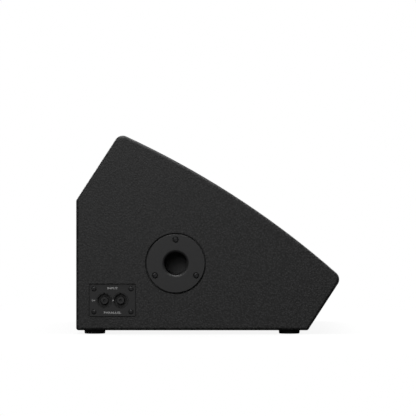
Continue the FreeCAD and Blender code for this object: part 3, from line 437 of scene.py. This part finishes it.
surroundShape = {
    "outerRadius": 0.142, "rollOuter": 0.134, "rollInner": 0.117, "innerRadius": 0.1135,
    "rollCount": 2, "rollHeight": 0.0043, "thickness": 0.0008, "belowTop": 0.0047, "innerDrop": 0.0016,
    "turns": 128, "rollSteps": 10, "bothWays": False,
}
spiderShape = {
    "outerRadius": 0.0825, "rollOuter": 0.076, "rollInner": 0.0375, "innerRadius": 0.0375,
    "rollCount": 7, "rollHeight": 0.0016, "thickness": 0.0005, "belowTop": 0.00185, "innerDrop": 0.0,
    "turns": 96, "rollSteps": 8, "bothWays": True,   # rolls go up and down by turns
}
rollFullness = 0.8      # below 1 the rolls are fuller than a sine
clampedWidth = 0.001    # width of the inner strip clamped to the cone


def buildRolledRing(name, spec, node, slotName):
    # a spun ring of half-rolls, from its outer edge at the frame to its inner edge at the cone; a share of the
    # roll width is worked out for each point, but nothing uses it
    low, high = tiltedBox(node)
    centre = Vector(((low.x + high.x) / 2, (low.y + high.y) / 2, high.z - spec["belowTop"]))
    points = [(spec["outerRadius"], 0.0)]
    width = (spec["rollOuter"] - spec["rollInner"]) / spec["rollCount"]
    for roll in range(spec["rollCount"]):
        way = -1.0 if spec["bothWays"] and roll % 2 else 1.0
        for number in range(spec["rollSteps"] + (roll == spec["rollCount"] - 1)):
            share = number / spec["rollSteps"]
            points.append((spec["rollOuter"] - width * (roll + share),
                           way * spec["rollHeight"] * math.sin(math.pi * share) ** rollFullness))
    if spec["innerDrop"]:  # the edge that is glued to the cone
        points.append((spec["rollInner"] - 0.0002, -spec["innerDrop"] * 0.8))
        points.append((spec["rollInner"] - 0.0008, -spec["innerDrop"]))
        points.append((spec["innerRadius"], -spec["innerDrop"]))
    bm = bmesh.new()
    chain = [bm.verts.new((r, 0, z)) for r, z in points]
    edges = [bm.edges.new(pair) for pair in zip(chain, chain[1:])]
    bmesh.ops.spin(bm, geom=chain + edges, cent=(0, 0, 0), axis=(0, 0, 1), dvec=(0, 0, 0),
                   angle=2 * math.pi, steps=spec["turns"], use_merge=True, use_duplicate=False)
    bmesh.ops.remove_doubles(bm, verts=bm.verts, dist=1e-6)
    bmesh.ops.recalc_face_normals(bm, faces=bm.faces)
    if sum(f.normal.z for f in bm.faces) < 0:
        bmesh.ops.reverse_faces(bm, faces=bm.faces)
    bmesh.ops.solidify(bm, geom=bm.faces[:], thickness=spec["thickness"])
    radii = [math.hypot(v.co.x, v.co.y) for v in bm.verts]
    bmesh.ops.transform(bm, verts=bm.verts, matrix=slopeTurn @ Matrix.Translation(centre))
    piece = finishPiece(bm, name, slotName, body=None, smoothAngle=50)
    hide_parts(node)
    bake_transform(piece)
    moving = spec["rollOuter"] - spec["rollInner"] - clampedWidth
    for r in radii:
        share = min(max((spec["rollOuter"] - r) / moving, 0.0), 1.0)


buildRolledRing("wooferSurround", surroundShape, "woofer_surround", "surround_cloth")
buildRolledRing("wooferSpider", spiderShape, "woofer_spider", "spider_cloth")
print("woofer surround and spider built")


padShape = {
    "gridStep": 0.012,
    "edgeRounding": 0.35,    # share of the thickness lost at the very edge
    "edgeWidth": 0.02,
    "lumpsPerMetre": 22.0,
    "lumpHeight": 0.0012,
    "fill": 0.45,
}


def buildPad(name, corner, opposite, turn, spec):
    # wadding: a block pulled in along its edges and made uneven
    size = opposite - corner
    centre = (opposite + corner) / 2
    bm = bmesh.new()
    bmesh.ops.create_cube(bm, size=1.0)
    bmesh.ops.scale(bm, verts=bm.verts, vec=size)
    for axis in range(3):
        count = max(2, int(size[axis] / spec["gridStep"]))
        for number in range(1, count):
            place = Vector((0, 0, 0))
            place[axis] = size[axis] * (number / count - 0.5)
            normal = Vector((0, 0, 0))
            normal[axis] = 1.0
            bmesh.ops.bisect_plane(bm, geom=bm.verts[:] + bm.edges[:] + bm.faces[:], dist=1e-6,
                                   plane_co=place, plane_no=normal)
    thin = min(range(3), key=lambda i: size[i])
    for v in bm.verts:
        inset = 1.0
        for axis in range(3):
            if axis != thin:
                edgeGap = size[axis] / 2 - abs(v.co[axis])
                inset *= 1 - spec["edgeRounding"] * max(0.0, 1 - edgeGap / spec["edgeWidth"]) ** 2
        v.co[thin] *= inset
        lump = noise.noise(v.co * spec["lumpsPerMetre"]) * spec["lumpHeight"] * inset
        v.co[thin] -= math.copysign(abs(lump), v.co[thin])
    bmesh.ops.transform(bm, verts=bm.verts, matrix=turn @ Matrix.Translation(centre))
    piece = finishPiece(bm, name, "wadding", smoothAngle=70)
    softer = piece.modifiers.new("softer", "SUBSURF")
    softer.levels = softer.render_levels = 1
    return piece


def buildPads():
    # the node holds two blocks: one flat on the bottom, one on the rear slope
    between = 0.12  # a height that parts them
    corners = [v.co.copy() for v in nodes["damping_pads"].data.vertices]
    pads = []
    for name, turn, points in (
            ("dampingPadLower", Matrix.Identity(4), [p for p in corners if p.z < between]),
            ("dampingPadRear", slopeTurn, [slopeTurn.inverted() @ p for p in corners if p.z > between])):
        corner, opposite = extent(points)
        pads.append(buildPad(name, corner, opposite, turn, padShape))
    for pad in pads:
        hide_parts("damping_pads")
    print("damping pads built")


buildPads()


plateLabels = {
    # name, text, how far right of and above the plate's middle, width
    "words": [("labelInput", "INPUT", 0.0003, 0.0194, 0.0168),
              ("labelParallel", "PARALLEL", 0.0, -0.0195, 0.0274),
              ("labelContact", "1+", -0.0301, -0.0001, 0.0052)],
    "letterSize": 0.0047,
    "boldness": 0.0001,
    "thickness": 0.00006,
    "proud": 0.4,           # share of the letters' thickness in front of the plate's face
    "arrow": {"right": 0.0009, "up": 0.0, "size": 0.0017},
}


def buildLabels(spec):
    low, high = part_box("input_plate")
    middle = (low + high) / 2
    upright = Matrix.Rotation(math.radians(90), 4, "X")
    for name, text, right, up, width in spec["words"]:
        curve = bpy.data.curves.new(name, "FONT")
        curve.body = text
        curve.align_x = "CENTER"
        curve.align_y = "CENTER"
        curve.size = spec["letterSize"]
        curve.extrude = spec["thickness"] / 2
        curve.offset = spec["boldness"]
        curve.resolution_u = 3
        holder = bpy.data.objects.new(name + "Text", curve)
        bpy.context.scene.collection.objects.link(holder)
        bpy.context.view_layer.update()
        mesh = bpy.data.meshes.new_from_object(holder.evaluated_get(bpy.context.evaluated_depsgraph_get()))
        bpy.data.objects.remove(holder)
        bm = bmesh.new()
        bm.from_mesh(mesh)
        bpy.data.meshes.remove(mesh)
        bmesh.ops.remove_doubles(bm, verts=bm.verts, dist=1e-7)
        xs, ys = [v.co.x for v in bm.verts], [v.co.y for v in bm.verts]
        bmesh.ops.translate(bm, verts=bm.verts, vec=(-(min(xs) + max(xs)) / 2, -(min(ys) + max(ys)) / 2, 0))
        bmesh.ops.scale(bm, verts=bm.verts, vec=(width / (max(xs) - min(xs)), 1, 1))
        place = Matrix.Translation((middle.x + right, low.y - spec["thickness"] * spec["proud"], middle.z + up))
        bmesh.ops.transform(bm, verts=bm.verts, matrix=place @ upright)
        bmesh.ops.recalc_face_normals(bm, faces=bm.faces)
        finishPiece(bm, name, "plate_black", finish="label_print")
    arrow = spec["arrow"]
    bm = bmesh.new()
    bmesh.ops.create_circle(bm, cap_ends=True, segments=3, radius=arrow["size"],
                            matrix=Matrix.Rotation(math.radians(-90), 4, "Z"))
    grown = bmesh.ops.extrude_face_region(bm, geom=bm.faces[:])["geom"]
    bmesh.ops.translate(bm, verts=onlyVerts(grown), vec=(0, 0, spec["thickness"]))
    place = Matrix.Translation((middle.x + arrow["right"], low.y, middle.z + arrow["up"]))
    bmesh.ops.transform(bm, verts=bm.verts, matrix=place @ upright)
    bmesh.ops.recalc_face_normals(bm, faces=bm.faces)
    finishPiece(bm, "labelArrow", "plate_black", finish="label_print")
    print("labels built")


buildLabels(plateLabels)


studio = {
    "cameraPlane": 0.6638,      # width that the picture takes in at the near panel
    "cameraDistance": 5.0,
    "cameraRight": 0.00048,
    "cameraHeight": 0.2013,
    "sensorWidth": 36.0,
    "surround": 0.035,          # light from all round
    "floorShare": 0.9,          # how plainly white the floor is near the object
    "floorFades": (0.4, 1.1),   # from here to here it turns all white
    "floorHalf": 14.0,
    "floorDrop": 0.0002,        # below the feet
}
# place, aim, width and depth in metres, and watts
lamps = {
    "key": ((-0.3, -2.4, 2.5), (-0.05, -0.2, 0.2), 1.4, 1.2, 17.0),
    "front": ((-0.55, -4.4, 1.3), (-0.05, -0.28, 0.2), 1.5, 1.6, 27.5),
    "overhead": ((0.0, -0.45, 2.5), (0.0, -0.1, 0.1), 2.2, 1.4, 62.0),
    "farBack": ((-2.0, 1.9, 1.3), (0.0, 0.0, 0.12), 1.6, 1.4, 55.0),
    "farFront": ((2.0, 1.9, 1.5), (0.0, 0.0, 0.15), 1.6, 1.4, 45.0),
}


def buildStudio():
    # the camera sees plain white all round, and the object is lit by the lamps and a dim surround
    world = bpy.data.worlds.new("studio")
    bpy.context.scene.world = world
    world.use_nodes = True
    tree = world.node_tree
    tree.nodes.clear()
    seen = addNode(tree, "Background", {"Color": (1, 1, 1, 1), "Strength": 1.0})
    dim = addNode(tree, "Background", {"Color": (1, 1, 1, 1), "Strength": studio["surround"]})
    rays = addNode(tree, "LightPath")
    pick = addNode(tree, "MixShader", {},
                   {0: rays.outputs["Is Camera Ray"], 1: dim.outputs[0], 2: seen.outputs[0]})
    out = addNode(tree, "OutputWorld")
    tree.links.new(pick.outputs[0], out.inputs[0])

    bm = bmesh.new()
    bmesh.ops.create_grid(bm, x_segments=1, y_segments=1, size=studio["floorHalf"],
                          matrix=Matrix.Translation((0, 0, -studio["floorDrop"])))
    mesh = bpy.data.meshes.new("floor")
    bm.to_mesh(mesh)
    bm.free()
    floor = bpy.data.objects.new("floor", mesh)
    bpy.context.scene.collection.objects.link(floor)
    material = bpy.data.materials.new("paleFloor")
    material.use_nodes = True
    tree = material.node_tree
    tree.nodes.clear()
    plain = addNode(tree, "Emission", {"Color": (1, 1, 1, 1), "Strength": 1.0})
    lit = addNode(tree, "BsdfDiffuse", {"Color": (0.9, 0.9, 0.9, 1)})
    dark = addNode(tree, "BsdfDiffuse", {"Color": (0.06, 0.06, 0.06, 1)})
    distance = addNode(tree, "VectorMath", {}, {0: addNode(tree, "TexCoord").outputs["Object"]},
                       operation="LENGTH")
    start, stop = studio["floorFades"]
    share = addNode(tree, "MapRange",
                    {"From Min": start, "From Max": stop, "To Min": studio["floorShare"], "To Max": 1.0},
                    {"Value": distance.outputs["Value"]}, interpolation_type="SMOOTHSTEP")
    shown = addNode(tree, "MixShader", {}, {0: share.outputs[0], 1: lit.outputs[0], 2: plain.outputs[0]})
    rays = addNode(tree, "LightPath")
    pick = addNode(tree, "MixShader", {},
                   {0: rays.outputs["Is Camera Ray"], 1: dark.outputs[0], 2: shown.outputs[0]})
    out = addNode(tree, "OutputMaterial")
    tree.links.new(pick.outputs[0], out.inputs[0])
    mesh.materials.append(material)

    for name, (place, aim, width, depth, power) in lamps.items():
        lamp = bpy.data.lights.new(name, "AREA")
        lamp.shape = "RECTANGLE"
        lamp.size = width
        lamp.size_y = depth
        lamp.energy = power
        holder = bpy.data.objects.new(name, lamp)
        bpy.context.scene.collection.objects.link(holder)
        holder.location = place
        holder.rotation_euler = (Vector(aim) - Vector(place)).to_track_quat("-Z", "Y").to_euler()

    lens = bpy.data.cameras.new("camera")
    lens.sensor_width = studio["sensorWidth"]
    lens.lens = studio["sensorWidth"] * studio["cameraDistance"] / studio["cameraPlane"]
    lens.clip_end = 60.0
    camera = bpy.data.objects.new("camera", lens)
    bpy.context.scene.collection.objects.link(camera)
    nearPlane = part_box("side_panel_left")[0].y
    camera.location = (studio["cameraRight"], nearPlane - studio["cameraDistance"], studio["cameraHeight"])
    camera.rotation_euler = (math.radians(90), 0, 0)
    bpy.context.scene.camera = camera
    bpy.context.scene.view_settings.view_transform = "Standard"
    print("studio built")


buildStudio()
